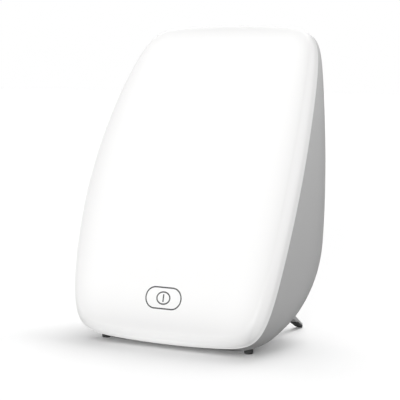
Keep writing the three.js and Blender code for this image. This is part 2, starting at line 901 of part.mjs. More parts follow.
function rearHousing() {
  const outer = housingForm(0);
  const inner = housingForm(housing_wall, overrun);
  const tray_room = edgePrism(0, -overrun, tray_depth + tray_wall + gap);
  const posts = post_seats.flatMap(({ x, y, z }) => {
    const front = y + tray_boss_back + gap;
    const to_wall = [post_side_margin, housing_depth, gusset_thickness];
    const side = Math.sign(x);
    return [
      rodAlongY(post_radius, front, front + housing_depth, x, z, small_steps),
      block(to_wall, [x + (side * post_side_margin) / 2, front + housing_depth / 2, z]),
    ];
  });
  const standoffs = board_screw_places.map(({ x, z }) => (
    rodAlongY(standoff_radius, board_back + gap, housing_depth, x, z, small_steps)
  ));
  const seat_walls = footSeats(foot_seat_outer, 0, foot_seat_roof);
  const pin_bosses = both_sides.map((side) => {
    const from = leg_outer + stand_clearance;
    const to = leg_outer - pin_in_leg + pin_length + pocket_wall;
    const [low, high] = side > 0 ? [from, to] : [-to, -from];
    return rodAlongX(pin_boss_radius, low, high, stand_back, stand_height);
  });
  const fittings = unite(...posts, ...standoffs);
  const thick_places = unite(pocket(stand_clearance + pocket_wall), ...seat_walls, ...pin_bosses);
  const added = unite(cut(fittings, tray_room), thick_places).intersect(outer);
  const body = unite(cut(outer, inner), added);

  const rebate = edgePrism(tongue_inset - gap, -overrun, tongue_length + gap)
    .intersect(housingForm(tongue_inset - gap, overrun));
  const jack_hole = unite(
    rodAlongY(jack_nose_radius + gap, jack_body_back, jack_mouth + overrun, 0, jack_height),
    rodAlongY(jack_recess_radius, jack_mouth - jack_recess_depth, jack_mouth + overrun, 0, jack_height),
  );
  const pin_bores = both_sides.map((side) => {
    const to = leg_outer - pin_in_leg + pin_length + gap;
    const [low, high] = side > 0 ? [leg_outer, to] : [-to, -leg_outer];
    return rodAlongX(pin_radius + gap, low, high, stand_back, stand_height, small_steps);
  });
  return cut(
    body,
    rebate,
    pocket(stand_clearance),
    jack_hole,
    ...pin_bores,
    ...footSeats(foot_radius + gap, -overrun, foot_seat_height),
    ...screwHoles(tray_screw_places),
    ...screwHoles(board_screw_places),
  );
}

// Front foot, turned about its upright axis

function footSolid() {
  const height = foot_seat_height - gap;
  const profile = points2([
    [0, 0],
    [foot_radius - foot_chamfer, 0],
    [foot_radius, foot_chamfer],
    [foot_radius, height],
    [0, height],
  ]);
  return solidOf(new THREE.LatheGeometry(profile, round_steps).rotateX(Math.PI / 2));
}

function frontFeet() {
  return both_sides.map((side) => {
    const foot = piece(side < 0 ? 'front_foot_left' : 'front_foot_right', footSolid(), 'rubber');
    foot.position.set(side * foot_place, foot_back, 0);
    return foot;
  });
}

// The assembly

const stand = new THREE.Group();
stand.add(
  piece('stand', standSolid(), 'grey_plastic'),
  piece('stand_tip_left', tipSolid(-1), 'rubber'),
  piece('stand_tip_right', tipSolid(1), 'rubber'),
);
stand.position.set(0, stand_back, stand_height);
stand.rotation.x = -stand_angle;

const lamp = new THREE.Group();
lamp.add(
  piece('light_screen', lightScreen(), 'opal'),
  piece('rear_housing', rearHousing(), 'grey_plastic'),
  piece('light_tray', lightTray(), 'white_plastic'),
  ...ledStrips(),
  ...touchKey(),
  piece('control_board', controlBoard(), 'green_board'),
  piece('dc_jack', dcJack(), 'black_plastic'),
  piece('dc_jack_pin', jackPin(), 'steel'),
  ...leads(),
  ...screws('tray_screw', tray_screw_places),
  ...screws('board_screw', board_screw_places),
  ...frontFeet(),
  piece('stand_pin_left', hingePin(-1), 'steel'),
  piece('stand_pin_right', hingePin(1), 'steel'),
  stand,
);

// The origin is the middle of the lamp's footprint, on the table.
lamp.updateMatrixWorld(true);
const bounds = new THREE.Box3().setFromObject(lamp, true);
const middle = bounds.getCenter(new THREE.Vector3());
lamp.position.set(-middle.x, -middle.y, -bounds.min.z);

const model = new THREE.Group();
model.add(lamp);

console.log('size', bounds.getSize(new THREE.Vector3()).toArray());
console.log('shift', lamp.position.toArray());
console.log('hinge', [0, stand_back - middle.y, stand_height - bounds.min.z]);
console.log('fold, degrees', 180 - THREE.MathUtils.radToDeg(stand_angle + fold_slope));

export default model;
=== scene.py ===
# %% [markdown]
# # A light therapy lamp, dressed
# The lamp is an opal front shell over rows of LEDs, closed at the back by a deep grey
# housing, on two rubber feet and a fold-out stand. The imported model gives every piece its
# place and size. This script gives the lamp its smooth surfaces, its finishes, its light
# and the camera. Shapes are written in millimetres and laid down in metres, +Z is up and
# the lit face looks towards -Y.

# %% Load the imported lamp
import json
import math

import bmesh
import bpy
from mathutils import Matrix, Vector

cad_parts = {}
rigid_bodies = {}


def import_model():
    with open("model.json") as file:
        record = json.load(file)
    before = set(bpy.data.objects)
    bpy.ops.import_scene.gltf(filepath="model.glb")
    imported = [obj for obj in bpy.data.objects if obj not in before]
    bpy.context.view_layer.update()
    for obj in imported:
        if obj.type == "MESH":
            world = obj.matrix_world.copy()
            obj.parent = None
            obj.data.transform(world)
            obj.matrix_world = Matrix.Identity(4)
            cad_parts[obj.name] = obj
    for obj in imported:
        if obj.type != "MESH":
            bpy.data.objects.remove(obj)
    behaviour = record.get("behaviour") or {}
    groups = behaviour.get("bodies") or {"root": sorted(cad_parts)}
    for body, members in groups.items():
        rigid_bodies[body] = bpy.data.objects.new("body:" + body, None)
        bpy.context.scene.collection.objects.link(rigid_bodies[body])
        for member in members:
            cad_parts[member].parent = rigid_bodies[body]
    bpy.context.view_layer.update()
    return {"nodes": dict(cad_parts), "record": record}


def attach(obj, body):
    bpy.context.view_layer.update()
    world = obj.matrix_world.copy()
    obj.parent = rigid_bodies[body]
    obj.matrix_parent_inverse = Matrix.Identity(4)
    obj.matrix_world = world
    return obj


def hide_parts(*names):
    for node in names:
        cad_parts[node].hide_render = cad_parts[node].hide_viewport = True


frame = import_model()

print("CAD nodes:", len(frame["nodes"]))

# %% [markdown]
# ## Camera
# The photograph was taken with a long lens, turned 29 degrees round the lamp and 6 degrees
# above level. The camera is placed by these angles, its distance and the point that it
# looks at, because a turntable view is easier to judge that way than three coordinates.

# %% Camera
MM = 0.001
FORWARD_SHIFT = -55.363  # from the foot of the parting edge to the middle of the lamp
CAMERA_TURN, CAMERA_RISE = math.radians(29.294), math.radians(6.0)
CAMERA_DISTANCE = 1003.617 * MM
FOCAL_LENGTH, SENSOR_WIDTH = 123.6, 36
LOOK_AT = Vector((0, 49.02 + FORWARD_SHIFT, 117.65)) * MM
LOOK_ASIDE, LOOK_UP = 0.651 * MM, -15.945 * MM

back = Vector((
    math.sin(CAMERA_TURN) * math.cos(CAMERA_RISE),
    -math.cos(CAMERA_TURN) * math.cos(CAMERA_RISE),
    math.sin(CAMERA_RISE),
))
right = Vector((math.cos(CAMERA_TURN), math.sin(CAMERA_TURN), 0))
up = back.cross(right)
target = LOOK_AT + LOOK_ASIDE * right + LOOK_UP * up
bpy.ops.object.select_all(action="DESELECT")
bpy.ops.object.camera_add()
camera = bpy.context.object
camera.matrix_world = Matrix((
    (right.x, up.x, back.x, 0),
    (right.y, up.y, back.y, 0),
    (right.z, up.z, back.z, 0),
    (0, 0, 0, 1),
))
camera.location = target + CAMERA_DISTANCE * back
camera.data.lens = FOCAL_LENGTH
camera.data.sensor_width = SENSOR_WIDTH
bpy.context.scene.camera = camera
print("camera at", [round(value, 3) for value in camera.location])

# %% [markdown]
# ## The parting edge
# The screen and the housing meet on one edge. It is a rounded outline, a little waisted,
# drawn on a sheet that leans back more and more towards its top. Both shells grow from this
# edge, so it is written once, as a formula: a curve drawn by eye could never be followed by
# two pieces at once.

# %% The bent sheet and its outline
FACE_LENGTH, FACE_HALF_WIDTH, EDGE_HEIGHT = 250, 86.2, 3.5
LEAN_BOTTOM, LEAN_TOP = math.radians(14.3), math.radians(38)
TOP_BOW, BOTTOM_BOW = 3.6, 3.8
OUTLINE_POWER, TAPER, WAIST = 10.6, 0.036, 0.152
CORNER_CROWDING = 0.6
BEND = (LEAN_TOP - LEAN_BOTTOM) / FACE_LENGTH


def lean_at(v):
    """The sheet's lean at a height v up the face from its middle."""
    return LEAN_BOTTOM + BEND * (v + FACE_LENGTH / 2)


def on_sheet(u, v, forward=0.0, backward=0.0):
    """A point u across, v up the face from its middle, forward off the sheet, in mm."""
    lean = lean_at(v)
    y = (math.cos(LEAN_BOTTOM) - math.cos(lean)) / BEND - forward * math.cos(lean)
    z = (math.sin(lean) - math.sin(LEAN_BOTTOM)) / BEND + forward * math.sin(lean)
    return Vector((u, y + backward, z + EDGE_HEIGHT))


def narrowing(along):
    """The outline's width as a share, at a height from -1 to 1: a taper and a waist."""
    return 1 - TAPER * along - WAIST * along * along


def outline(turn, inset):
    """(u, v) of the outline at a turn round the face's middle, drawn in by inset."""
    c, s = math.cos(turn), math.sin(turn)
    reach = (abs(c) ** OUTLINE_POWER + abs(s) ** OUTLINE_POWER) ** (-1 / OUTLINE_POWER)
    across, along = reach * c, reach * s
    bow = TOP_BOW if s > 0 else BOTTOM_BOW
    half = FACE_LENGTH / 2 - bow - inset
    u = (FACE_HALF_WIDTH - inset) * across * narrowing(along)
    return u, along * (half + bow * (1 - across ** 2))


def ring_turn(share):
    """Turns crowd at the corners, where the outline bends most."""
    even = 2 * math.pi * share
    return even + CORNER_CROWDING * math.sin(4 * even) / 4 - math.pi / 2


def in_frame(point):
    """A point of the shapes, in mm, at its place in the shared frame."""
    return Vector((point.x, point.y + FORWARD_SHIFT, point.z)) * MM


print("edge height at the top:", round(on_sheet(0, FACE_LENGTH / 2).z, 2), "mm")

# %% [markdown]
# ## Laying a grid on a form
# Every large shell is one flat grid, added as a primitive, whose points are then laid on
# the form by a function of their two shares. Rows that meet are merged, so poles and seams
# close. A subdivided box could be sculpted instead, but only a grid follows a formula.

# %% Grid and boolean helpers
POINT_MERGE, BOX_POINTS = 0.002, 8


def bare_selection():
    """Nothing selected, in object mode."""
    if bpy.context.object and bpy.context.object.mode != "OBJECT":
        bpy.ops.object.mode_set(mode="OBJECT")
    bpy.ops.object.select_all(action="DESELECT")


def pick(piece):
    bare_selection()
    piece.select_set(True)
    bpy.context.view_layer.objects.active = piece


def finish_mesh(piece, merge=POINT_MERGE):
    """Merges points that lie together, within merge mm, and turns the faces outwards."""
    pick(piece)
    bpy.ops.object.mode_set(mode="EDIT")
    bpy.ops.mesh.select_all(action="SELECT")
    bpy.ops.mesh.remove_doubles(threshold=merge * MM)
    bpy.ops.mesh.normals_make_consistent(inside=False)
    bpy.ops.object.mode_set(mode="OBJECT")


def lay_grid(name, across, along, place):
    """A grid of across by along faces, each point laid where place(share, share) says."""
    bare_selection()
    bpy.ops.mesh.primitive_grid_add(x_subdivisions=across, y_subdivisions=along, size=1)
    piece = bpy.context.object
    piece.name = piece.data.name = name
    for point in piece.data.vertices:
        point.co = in_frame(place(point.co.x + 0.5, point.co.y + 0.5))
    finish_mesh(piece)
    return piece


def apply_modifier(piece, kind, **settings):
    pick(piece)
    modifier = piece.modifiers.new(kind.lower(), kind)
    for key, value in settings.items():
        setattr(modifier, key, value)
    bpy.ops.object.modifier_apply(modifier=modifier.name)


def open_edges(piece):
    """Edges that don't join exactly two faces. A boolean does nothing where one is left."""
    mesh = bmesh.new()
    mesh.from_mesh(piece.data)
    count = sum(not edge.is_manifold for edge in mesh.edges)
    mesh.free()
    return count


def boolean(piece, operation, tool):
    """Joins or cuts two closed solids, and removes the tool."""
    for solid in (piece, tool):
        assert not open_edges(solid), f"{solid.name} has open edges"
    apply_modifier(piece, "BOOLEAN", operation=operation, solver="MANIFOLD", object=tool)
    bpy.data.objects.remove(tool)
    assert len(piece.data.vertices) > BOX_POINTS, f"{piece.name}: the boolean left nothing"


def smooth(piece, degrees):
    """Smooth faces, with an edge kept sharp where they meet at more than degrees."""
    pick(piece)
    bpy.ops.object.shade_smooth_by_angle(angle=math.radians(degrees))


print("packed housing:", len(frame["nodes"]["rear_housing"].data.polygons), "faces")

# %% [markdown]
# ## Opal screen
# The screen is one moulded shell: a short rim with a hint of draft, a well rounded edge
# and a very shallow crown, and behind the parting edge a tongue that laps inside the
# housing. Its whole section runs from the middle of the front over the edge and back
# inside to the middle, so one list of rings describes both sides of the wall.

# %% Screen section
SCREEN_WALL, SCREEN_RIM, RIM_DRAFT = 2.4, 2.54, 0.5
EDGE_RADIUS, EDGE_SWEEP, CROWN = 7.8, math.radians(84.5), 4.6
TONGUE_INSET, TONGUE_LENGTH, PARTING_GAP = 1.4, 4, 0.3
RIM_POINTS = ((0.02, 0.5), (0.25, 1.4))
OUTSIDE_STEPS, INSIDE_STEPS, SCREEN_AROUND = (12, 22), (6, 12), 192


def dome_profile(inset, arc_steps, crown_steps):
    """(inset, forward, backward, share) of each ring from the rim to the middle."""
    radius = EDGE_RADIUS - inset
    start = RIM_DRAFT + inset
    rings = []
    for step in range(arc_steps + 1):
        angle = EDGE_SWEEP * step / arc_steps
        drawn_in = start + radius * (1 - math.cos(angle))
        rings.append((drawn_in, SCREEN_RIM + radius * math.sin(angle), 0, 1))
    base = rings[-1]
    for step in range(1, crown_steps + 1):
        share = 1 - step / crown_steps
        rings.append((base[0], base[1] + CROWN * (1 - share ** 2), 0, share))
    return rings


outside = [
    (0, 0, -PARTING_GAP, 1),
    *((inset, forward, 0, 1) for inset, forward in RIM_POINTS),
    *dome_profile(0, *OUTSIDE_STEPS),
]
inside = [
    (TONGUE_INSET, 0, -PARTING_GAP, 1),
    (TONGUE_INSET, 0, TONGUE_LENGTH, 1),
    (SCREEN_WALL, 0, TONGUE_LENGTH, 1),
    (SCREEN_WALL, 0, 0, 1),
    *dome_profile(SCREEN_WALL, *INSIDE_STEPS),
]
screen_section = [*reversed(outside), *inside]


def screen_point(a, b):
    inset, forward, backward, share = screen_section[round(b * (len(screen_section) - 1))]
    u, v = outline(ring_turn(a), inset)
    return on_sheet(u * share, v * share, forward, backward)


opal_screen = lay_grid(
    "opal_screen", SCREEN_AROUND, len(screen_section) - 1, screen_point)
smooth(opal_screen, degrees=40)
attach(opal_screen, "lamp")
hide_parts("light_screen")
print("opal_screen:", len(opal_screen.data.polygons), "faces")

# %% [markdown]
# ## Housing shell
# The housing is a deep moulded shell. Each level section of it is a rounded rectangle that
# starts and ends on the parting edge, and its depth follows the rear line: bulging below
# the knee, nearly upright above it, and rounded over at the top. The wall is the outer form
# less the same form drawn in. Each form is closed in front of the edge, further ahead than
# the distance at which points merge: a boolean does nothing on a form with a loose edge.

# %% Housing forms
HOUSING_DEPTH, TOP_DEPTH, KNEE_HEIGHT, TOP_ROUND = 108, 4.5, 71, 10
BELLY_DROP, BELLY_RUN, BELLY_FADE, CORNER_FILL = 2.2, 9, 40, 12
WIDTH_POWERS, DEPTH_POWERS, BELLY_POWER, TOP_POWER = (8, 2.3), (6.4, 3.3), 1.95, 2.5
HOUSING_WALL, FRONT_LEAD, INNER_LEAD, SEAM_MERGE = 2.4, 0.04, 6, 0.01
FRONT_SHARES = (1, 1, 0.6, 0)
HOUSING_AROUND, HOUSING_UP, ROD_SIDES = 72, 90, 48


def edge_end(turn, inset):
    """A point of the parting edge."""
    return on_sheet(*outline(turn, inset))


def rear_line(z, inset):
    """How far back the housing reaches at a height z."""
    low, high = edge_end(-math.pi / 2, inset), edge_end(math.pi / 2, inset)
    deep = HOUSING_DEPTH - inset
    if z < KNEE_HEIGHT:
        below = min(max((KNEE_HEIGHT - z) / (KNEE_HEIGHT - low.z), 0), 1)
        return low.y + (deep - low.y) * (1 - below ** 2) ** (1 / BELLY_POWER)
    top = edge_end(math.pi / 2, 0).y + TOP_DEPTH - inset
    above = (z - KNEE_HEIGHT) / (high.z - KNEE_HEIGHT)
    return deep + (top - deep) * above ** 2


def section_point(turn, angle, inset):
    """A point of the level section that starts at the edge's turn, at an angle round it."""
    low, high = edge_end(-math.pi / 2, inset), edge_end(math.pi / 2, inset)
    edge = edge_end(turn, inset)
    rise = (edge.z - low.z) / (high.z - low.z)
    width_power, depth_power = (
        start + (end - start) * rise for start, end in (WIDTH_POWERS, DEPTH_POWERS))
    rounding = TOP_ROUND - inset
    into = min(max((edge.z - high.z + rounding) / rounding, 0), 1)
    rounded = (1 - into ** TOP_POWER) ** (1 / TOP_POWER)
    depth = (rear_line(edge.z, inset) - edge.y) * rounded
    cosine = math.cos(angle)
    across = edge.x * math.copysign(abs(cosine) ** (2 / width_power), cosine)
    behind = depth * max(math.sin(angle), 0) ** (2 / depth_power)
    above_low = max(edge.z - low.z, 0)
    fade, corner = (max(1 - above_low / reach, 0) for reach in (BELLY_FADE, CORNER_FILL))
    drop = BELLY_DROP * fade ** 2 + above_low * corner ** 2
    run = math.sin(math.pi / 2 * min(behind / BELLY_RUN, 1))
    return Vector((across, edge.y + behind, edge.z - drop * run))


def housing_form(name, inset, lead):
    """A closed solid: the rear surface, a collar forward of the edge, and a bent front."""
    def rear(a, b):
        turn = ring_turn(0.5 * b)
        if a in (0, 1):
            point = edge_end(turn, inset)
            return Vector((point.x if a == 0 else -point.x, point.y, point.z))
        return section_point(turn, math.pi * a, inset)

    def front(a, b):
        level = round(b * (len(FRONT_SHARES) - 1))
        u, v = outline(ring_turn(a), inset)
        share, ahead = FRONT_SHARES[level], -lead if level else 0
        return on_sheet(u * share, v * share, 0, ahead)

    shell = lay_grid(name, HOUSING_AROUND, HOUSING_UP, rear)
    collar = lay_grid("collar", 2 * HOUSING_UP, len(FRONT_SHARES) - 1, front)
    pick(shell)
    collar.select_set(True)
    bpy.ops.object.join()
    finish_mesh(shell, SEAM_MERGE)
    return shell


def prism(name, across, outline_points):
    """A side-view outline in Y and Z, mm before the shift, pulled from across[0] to [1]."""
    bare_selection()
    bpy.ops.mesh.primitive_circle_add(vertices=len(outline_points), fill_type="NGON")
    piece = bpy.context.object
    piece.name = name
    for point, (y, z) in zip(piece.data.vertices, outline_points):
        point.co = in_frame(Vector((across[0], y, z)))
    bpy.ops.object.mode_set(mode="EDIT")
    bpy.ops.mesh.select_all(action="SELECT")
    bpy.ops.mesh.extrude_region_move(
        TRANSFORM_OT_translate={"value": ((across[1] - across[0]) * MM, 0, 0)})
    bpy.ops.object.mode_set(mode="OBJECT")
    finish_mesh(piece)
    return piece


def rod(name, radius, start, end, vertices=ROD_SIDES):
    """A round rod between two points, mm before the shift."""
    start, end = in_frame(Vector(start)), in_frame(Vector(end))
    bare_selection()
    along = end - start
    bpy.ops.mesh.primitive_cylinder_add(
        vertices=vertices, radius=radius * MM, depth=along.length,
        location=(start + end) / 2, rotation=along.to_track_quat("Z", "Y").to_euler())
    piece = bpy.context.object
    piece.name = name
    bpy.ops.object.transform_apply(location=True, rotation=True, scale=True)
    return piece


print("rear line:", [round(rear_line(z, 0)) for z in (10, KNEE_HEIGHT, 200)], "mm back")

# %% [markdown]
# ## The pocket for the stand
# The stand folds up into the underside, so the housing has a channel for each leg and a
# trough for the cross bar between them. Each channel follows the leg's two end places and
# the arc that its hub sweeps, with running room, and has a wall of its own inside.

# %% Pocket forms
STAND_BACK, STAND_HEIGHT = 72, 27.5
STAND_ANGLE = FOLD_SLOPE = math.radians(27)
LEG_SPACING, LEG_WIDTH, LEG_LOW, LEG_HIGH, TIP_THICK = 100, 6, 3.4, 3.2, 1.5
TIP_PROUD, TIP_WRAP, BAR_RADIUS, ROOM, GAP = 0.7, 1.2, 3, 0.6, 0.3
PIN_RADIUS, PIN_LENGTH, PIN_IN_LEG, BOSS_RADIUS = 1.5, 10, 4.4, 4
POCKET_WALL, BELOW, ARC_STEPS = 2, -6, 16
LEG_OUTSIDE = LEG_SPACING / 2 + LEG_WIDTH / 2
PIN_END = LEG_OUTSIDE - PIN_IN_LEG + PIN_LENGTH
TIP_LOW = LEG_LOW + TIP_PROUD
LEG_REACH = (STAND_HEIGHT - TIP_LOW * math.cos(STAND_ANGLE)) / math.sin(STAND_ANGLE)


def on_hinge(forwards, upwards, direction):
    """(y, z) of a point by its distances along and above a leg that points that way."""
    c, s = math.cos(direction), math.sin(direction)
    return STAND_BACK + forwards * c - upwards * s, STAND_HEIGHT + forwards * s + upwards * c


def hub_arc(radius, first, last):
    """Points round the hinge, from one direction to the other."""
    return [on_hinge(radius, 0, first + (last - first) * i / ARC_STEPS)
            for i in range(ARC_STEPS + 1)]


def leg_channel(side, room):
    """All that one leg sweeps between its two end places, with room round it."""
    radius = TIP_LOW + room
    folded, opened = math.pi + FOLD_SLOPE, -STAND_ANGLE
    stop_room = room - ROOM + GAP
    arc = hub_arc(radius, folded - math.pi / 2, opened + math.pi / 2)
    tip = on_hinge(LEG_REACH + TIP_WRAP + room, -radius, folded)

    def stop(distance):
        share = distance / LEG_REACH
        high = LEG_HIGH + (TIP_THICK - LEG_LOW - LEG_HIGH) * share
        return on_hinge(distance, high + stop_room, opened)

    outline_points = [tip, *arc, stop(radius), stop(LEG_REACH),
                      (stop(LEG_REACH)[0], BELOW), (tip[0], BELOW)]
    x, half = side * LEG_SPACING / 2, LEG_WIDTH / 2 + room
    return prism("channel", (x - half, x + half), outline_points)


def bar_trough(room):
    """The cross bar's place, open downwards, with room round it."""
    radius = BAR_RADIUS + room
    outline_points = [*hub_arc(radius, 0, math.pi),
                      (STAND_BACK - radius, BELOW), (STAND_BACK + radius, BELOW)]
    half = (LEG_SPACING - LEG_WIDTH) / 2 + room
    return prism("trough", (-half, half), outline_points)


print("stand reach:", round(LEG_REACH, 2), "mm")

# %% Housing: walls, pocket, seats and holes
FOOT_X, FOOT_BACK, FOOT_RADIUS, FOOT_SEAT = 59, 14.5, 3.2, 8.6
JACK_HEIGHT, JACK_MOUTH, NOSE_RADIUS = 66, 107.69, 4
RECESS_RADIUS, RECESS_DEPTH = 5.6, 1.6
INSIDE_WALL, OUTSIDE_WALL, BORE_SIDES = 95, 120, 24


def on_axis(x):
    """A point of the hinge's axis."""
    return x, STAND_BACK, STAND_HEIGHT


def drill(piece, name, radius, start, end, vertices=ROD_SIDES):
    """Cuts a round hole."""
    boolean(piece, "DIFFERENCE", rod(name, radius, start, end, vertices))


def add_wall(wall):
    """Adds a wall of the pocket, cut off where it would leave the housing."""
    boolean(wall, "INTERSECT", housing_form("limit", 0, FRONT_LEAD))
    boolean(housing_shell, "UNION", wall)


housing_shell = housing_form("housing_shell", 0, FRONT_LEAD)
boolean(housing_shell, "DIFFERENCE", housing_form("inner_form", HOUSING_WALL, INNER_LEAD))
for side in (-1, 1):
    wall = leg_channel(side, ROOM + POCKET_WALL)
    boolean(wall, "UNION", rod("boss", BOSS_RADIUS, on_axis(side * (LEG_OUTSIDE + ROOM)),
                               on_axis(side * (PIN_END + POCKET_WALL))))
    boolean(wall, "UNION", rod("seat", FOOT_RADIUS + GAP + POCKET_WALL,
                               (side * FOOT_X, FOOT_BACK, 0),
                               (side * FOOT_X, FOOT_BACK, FOOT_SEAT + POCKET_WALL)))
    add_wall(wall)
add_wall(bar_trough(ROOM + POCKET_WALL))
boolean(housing_shell, "DIFFERENCE", bar_trough(ROOM))
for side in (-1, 1):
    boolean(housing_shell, "DIFFERENCE", leg_channel(side, ROOM))
    drill(housing_shell, "bore", PIN_RADIUS + GAP, on_axis(side * LEG_SPACING / 2),
          on_axis(side * (PIN_END + GAP)), BORE_SIDES)
    drill(housing_shell, "foot_hole", FOOT_RADIUS + GAP,
          (side * FOOT_X, FOOT_BACK, BELOW), (side * FOOT_X, FOOT_BACK, FOOT_SEAT))
drill(housing_shell, "jack_hole", NOSE_RADIUS + GAP,
      (0, INSIDE_WALL, JACK_HEIGHT), (0, OUTSIDE_WALL, JACK_HEIGHT))
drill(housing_shell, "recess", RECESS_RADIUS,
      (0, JACK_MOUTH - RECESS_DEPTH, JACK_HEIGHT), (0, OUTSIDE_WALL, JACK_HEIGHT))
smooth(housing_shell, degrees=32)
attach(housing_shell, "lamp")
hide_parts("rear_housing")
print("housing_shell:", len(housing_shell.data.polygons), "faces,",
      open_edges(housing_shell), "open edges")

# %% [markdown]
# ## Printed key
# Low on the screen a touch key is printed in dark grey: a power sign, which is a ring with
# a bar in it, inside a capsule. It has no edge of its own, so it is ink: each line is a
# thin band laid on the screen's curve and proud of it by a few hundredths of a millimetre.
# A picture mapped on the screen would blur close up.

# %% Points on the screen's outer face
CROWN_INSET = RIM_DRAFT + EDGE_RADIUS * (1 - math.cos(EDGE_SWEEP))
CROWN_BASE = SCREEN_RIM + EDGE_RADIUS * math.sin(EDGE_SWEEP)
OUTLINE_ROUNDS, SHARE_ROUNDS, LEAST_SHARE, MOST_SHARE = 4, 24, 0.01, 1.2
INK_PROUD, INK_SUNK = 0.03, 0.08


def outside_outline(u, v):
    """Over 1 where the point lies outside the crown's outline."""
    bow = TOP_BOW if v > 0 else BOTTOM_BOW
    half = FACE_LENGTH / 2 - bow - CROWN_INSET
    along = v / (half + bow)
    for _ in range(OUTLINE_ROUNDS):
        across = u / ((FACE_HALF_WIDTH - CROWN_INSET) * narrowing(along))
        along = v / (half + bow * (1 - across ** 2))
    return abs(across) ** OUTLINE_POWER + abs(along) ** OUTLINE_POWER


def on_crown(u, v, proud):
    """A point proud of the crown. Halving finds its share of the way to the edge."""
    low, high = LEAST_SHARE, MOST_SHARE
    for _ in range(SHARE_ROUNDS):
        share = (low + high) / 2
        outside = outside_outline(u / share, v / share) > 1
        low, high = (share, high) if outside else (low, share)
    return on_sheet(u, v, CROWN_BASE + CROWN * (1 - high ** 2) + proud)


def print_line(name, path, width, closed):
    """A band of ink along a path of (u, v) points. Both ends of an open one come together."""
    count = len(path)
    rows = [*range(count), 0] if closed else [0, *range(count), count - 1]
    corners = [(-0.5, -INK_SUNK), (-0.5, INK_PROUD), (0.5, INK_PROUD), (0.5, -INK_SUNK)]
    corners.append(corners[0])
    sides = len(corners) - 1

    def place(a, b):
        row = round(a * (len(rows) - 1))
        i = rows[row]
        before, after = (i - 1) % count, (i + 1) % count
        if not closed:
            before, after = max(i - 1, 0), min(i + 1, count - 1)
        along = Vector(path[after]) - Vector(path[before])
        aside = Vector((-along.y, along.x)).normalized()
        side, height = corners[round(b * sides)]
        capped = not closed and row in (0, len(rows) - 1)
        u, v = Vector(path[i]) + aside * (0 if capped else side * width)
        return on_crown(u, v, 0 if capped else height)

    line = lay_grid(name, len(rows) - 1, sides, place)
    smooth(line, degrees=30)
    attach(line, "lamp")
    return line


print("crown:", round(CROWN_BASE, 2), "to", round(CROWN_BASE + CROWN, 2), "mm off the sheet")

# %% Ring, bar and capsule
KEY_U, KEY_V = 0.33, -93.9
RING_WIDE, RING_HIGH, BAR_HALF, LINE_WIDTH = 5.25, 4.2, 2.75, 0.98
CAPSULE_STRAIGHT, CAPSULE_ROUND = 6.95, 7.35
RING_STEPS, ROUND_STEPS, STRAIGHT_STEPS = 64, 24, 8

ring_path = []
for i in range(RING_STEPS):
    turn = 2 * math.pi * i / RING_STEPS
    ring_path.append((KEY_U + RING_WIDE * math.cos(turn),
                      KEY_V + RING_HIGH * math.sin(turn)))
bar_path = [(KEY_U, KEY_V + BAR_HALF * (1 - 2 * i / STRAIGHT_STEPS))
            for i in range(STRAIGHT_STEPS + 1)]
capsule_path = []
for side, start in ((1, -math.pi / 2), (-1, math.pi / 2)):
    middle = KEY_U + side * CAPSULE_STRAIGHT
    for i in range(ROUND_STEPS + 1):
        turn = start + math.pi * i / ROUND_STEPS
        capsule_path.append((middle + CAPSULE_ROUND * math.cos(turn),
                             KEY_V + CAPSULE_ROUND * math.sin(turn)))
    capsule_path += [(KEY_U + side * CAPSULE_STRAIGHT * (1 - 2 * i / STRAIGHT_STEPS),
                      KEY_V + side * CAPSULE_ROUND) for i in range(1, STRAIGHT_STEPS)]

key_lines = [
    print_line("key_ring", ring_path, LINE_WIDTH, True),
    print_line("key_bar", bar_path, LINE_WIDTH, False),
    print_line("key_capsule", capsule_path, LINE_WIDTH, True),
]
print("key:", len(key_lines), "lines of ink")

# %% [markdown]
# ## Feet, stand and power socket
# The small moulded parts have rounded edges, which catch the light and make them read as
# plastic and rubber. The feet are short plugs with a rolled edge. The stand and its rubber
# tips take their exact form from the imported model: a copy is merged, its flat faces are
# joined again, and a bevel rounds the edges.

# %% Feet
FOOT_ROUNDING, FOOT_SEGMENTS, SMALL_SEGMENTS = 0.9, 5, 3
SHARP_EDGE = math.radians(40)


def round_edges(piece, width, segments=SMALL_SEGMENTS):
    """Bevels the sharp edges, width in mm, and smooths the piece."""
    apply_modifier(piece, "BEVEL", width=width * MM, segments=segments,
                   limit_method="ANGLE", angle_limit=SHARP_EDGE)
    smooth(piece, degrees=30)


for side, node in ((-1, "front_foot_left"), (1, "front_foot_right")):
    foot = rod(f"rubber_{node}", FOOT_RADIUS, (side * FOOT_X, FOOT_BACK, 0),
               (side * FOOT_X, FOOT_BACK, FOOT_SEAT - GAP))
    round_edges(foot, FOOT_ROUNDING, FOOT_SEGMENTS)
    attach(foot, "lamp")
    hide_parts(node)
    print(foot.name, len(foot.data.polygons), "faces")

# %% Stand and tips
COPY_MERGE, FLAT_ANGLE = 0.001, 0.5


def rounded_copy(node, name, width):
    """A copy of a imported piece, merged, with its edges rounded."""
    source = frame["nodes"][node]
    piece = bpy.data.objects.new(name, source.data.copy())
    bpy.context.collection.objects.link(piece)
    pick(piece)
    bpy.ops.object.mode_set(mode="EDIT")
    bpy.ops.mesh.select_all(action="SELECT")
    bpy.ops.mesh.remove_doubles(threshold=COPY_MERGE * MM)
    bpy.ops.mesh.dissolve_limited(angle_limit=math.radians(FLAT_ANGLE))
    bpy.ops.object.mode_set(mode="OBJECT")
    round_edges(piece, width)
    return piece


for node, name, width, slot in (
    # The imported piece, its new name, its rounding in mm and its slot
    ("stand", "stand_frame", 0.35, "grey_plastic"),
    ("stand_tip_left", "rubber_tip_left", 0.2, "rubber"),
    ("stand_tip_right", "rubber_tip_right", 0.2, "rubber"),
):
    piece = rounded_copy(node, name, width)
    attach(piece, "stand")
    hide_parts(node)
    print(name, len(piece.data.polygons), "faces")

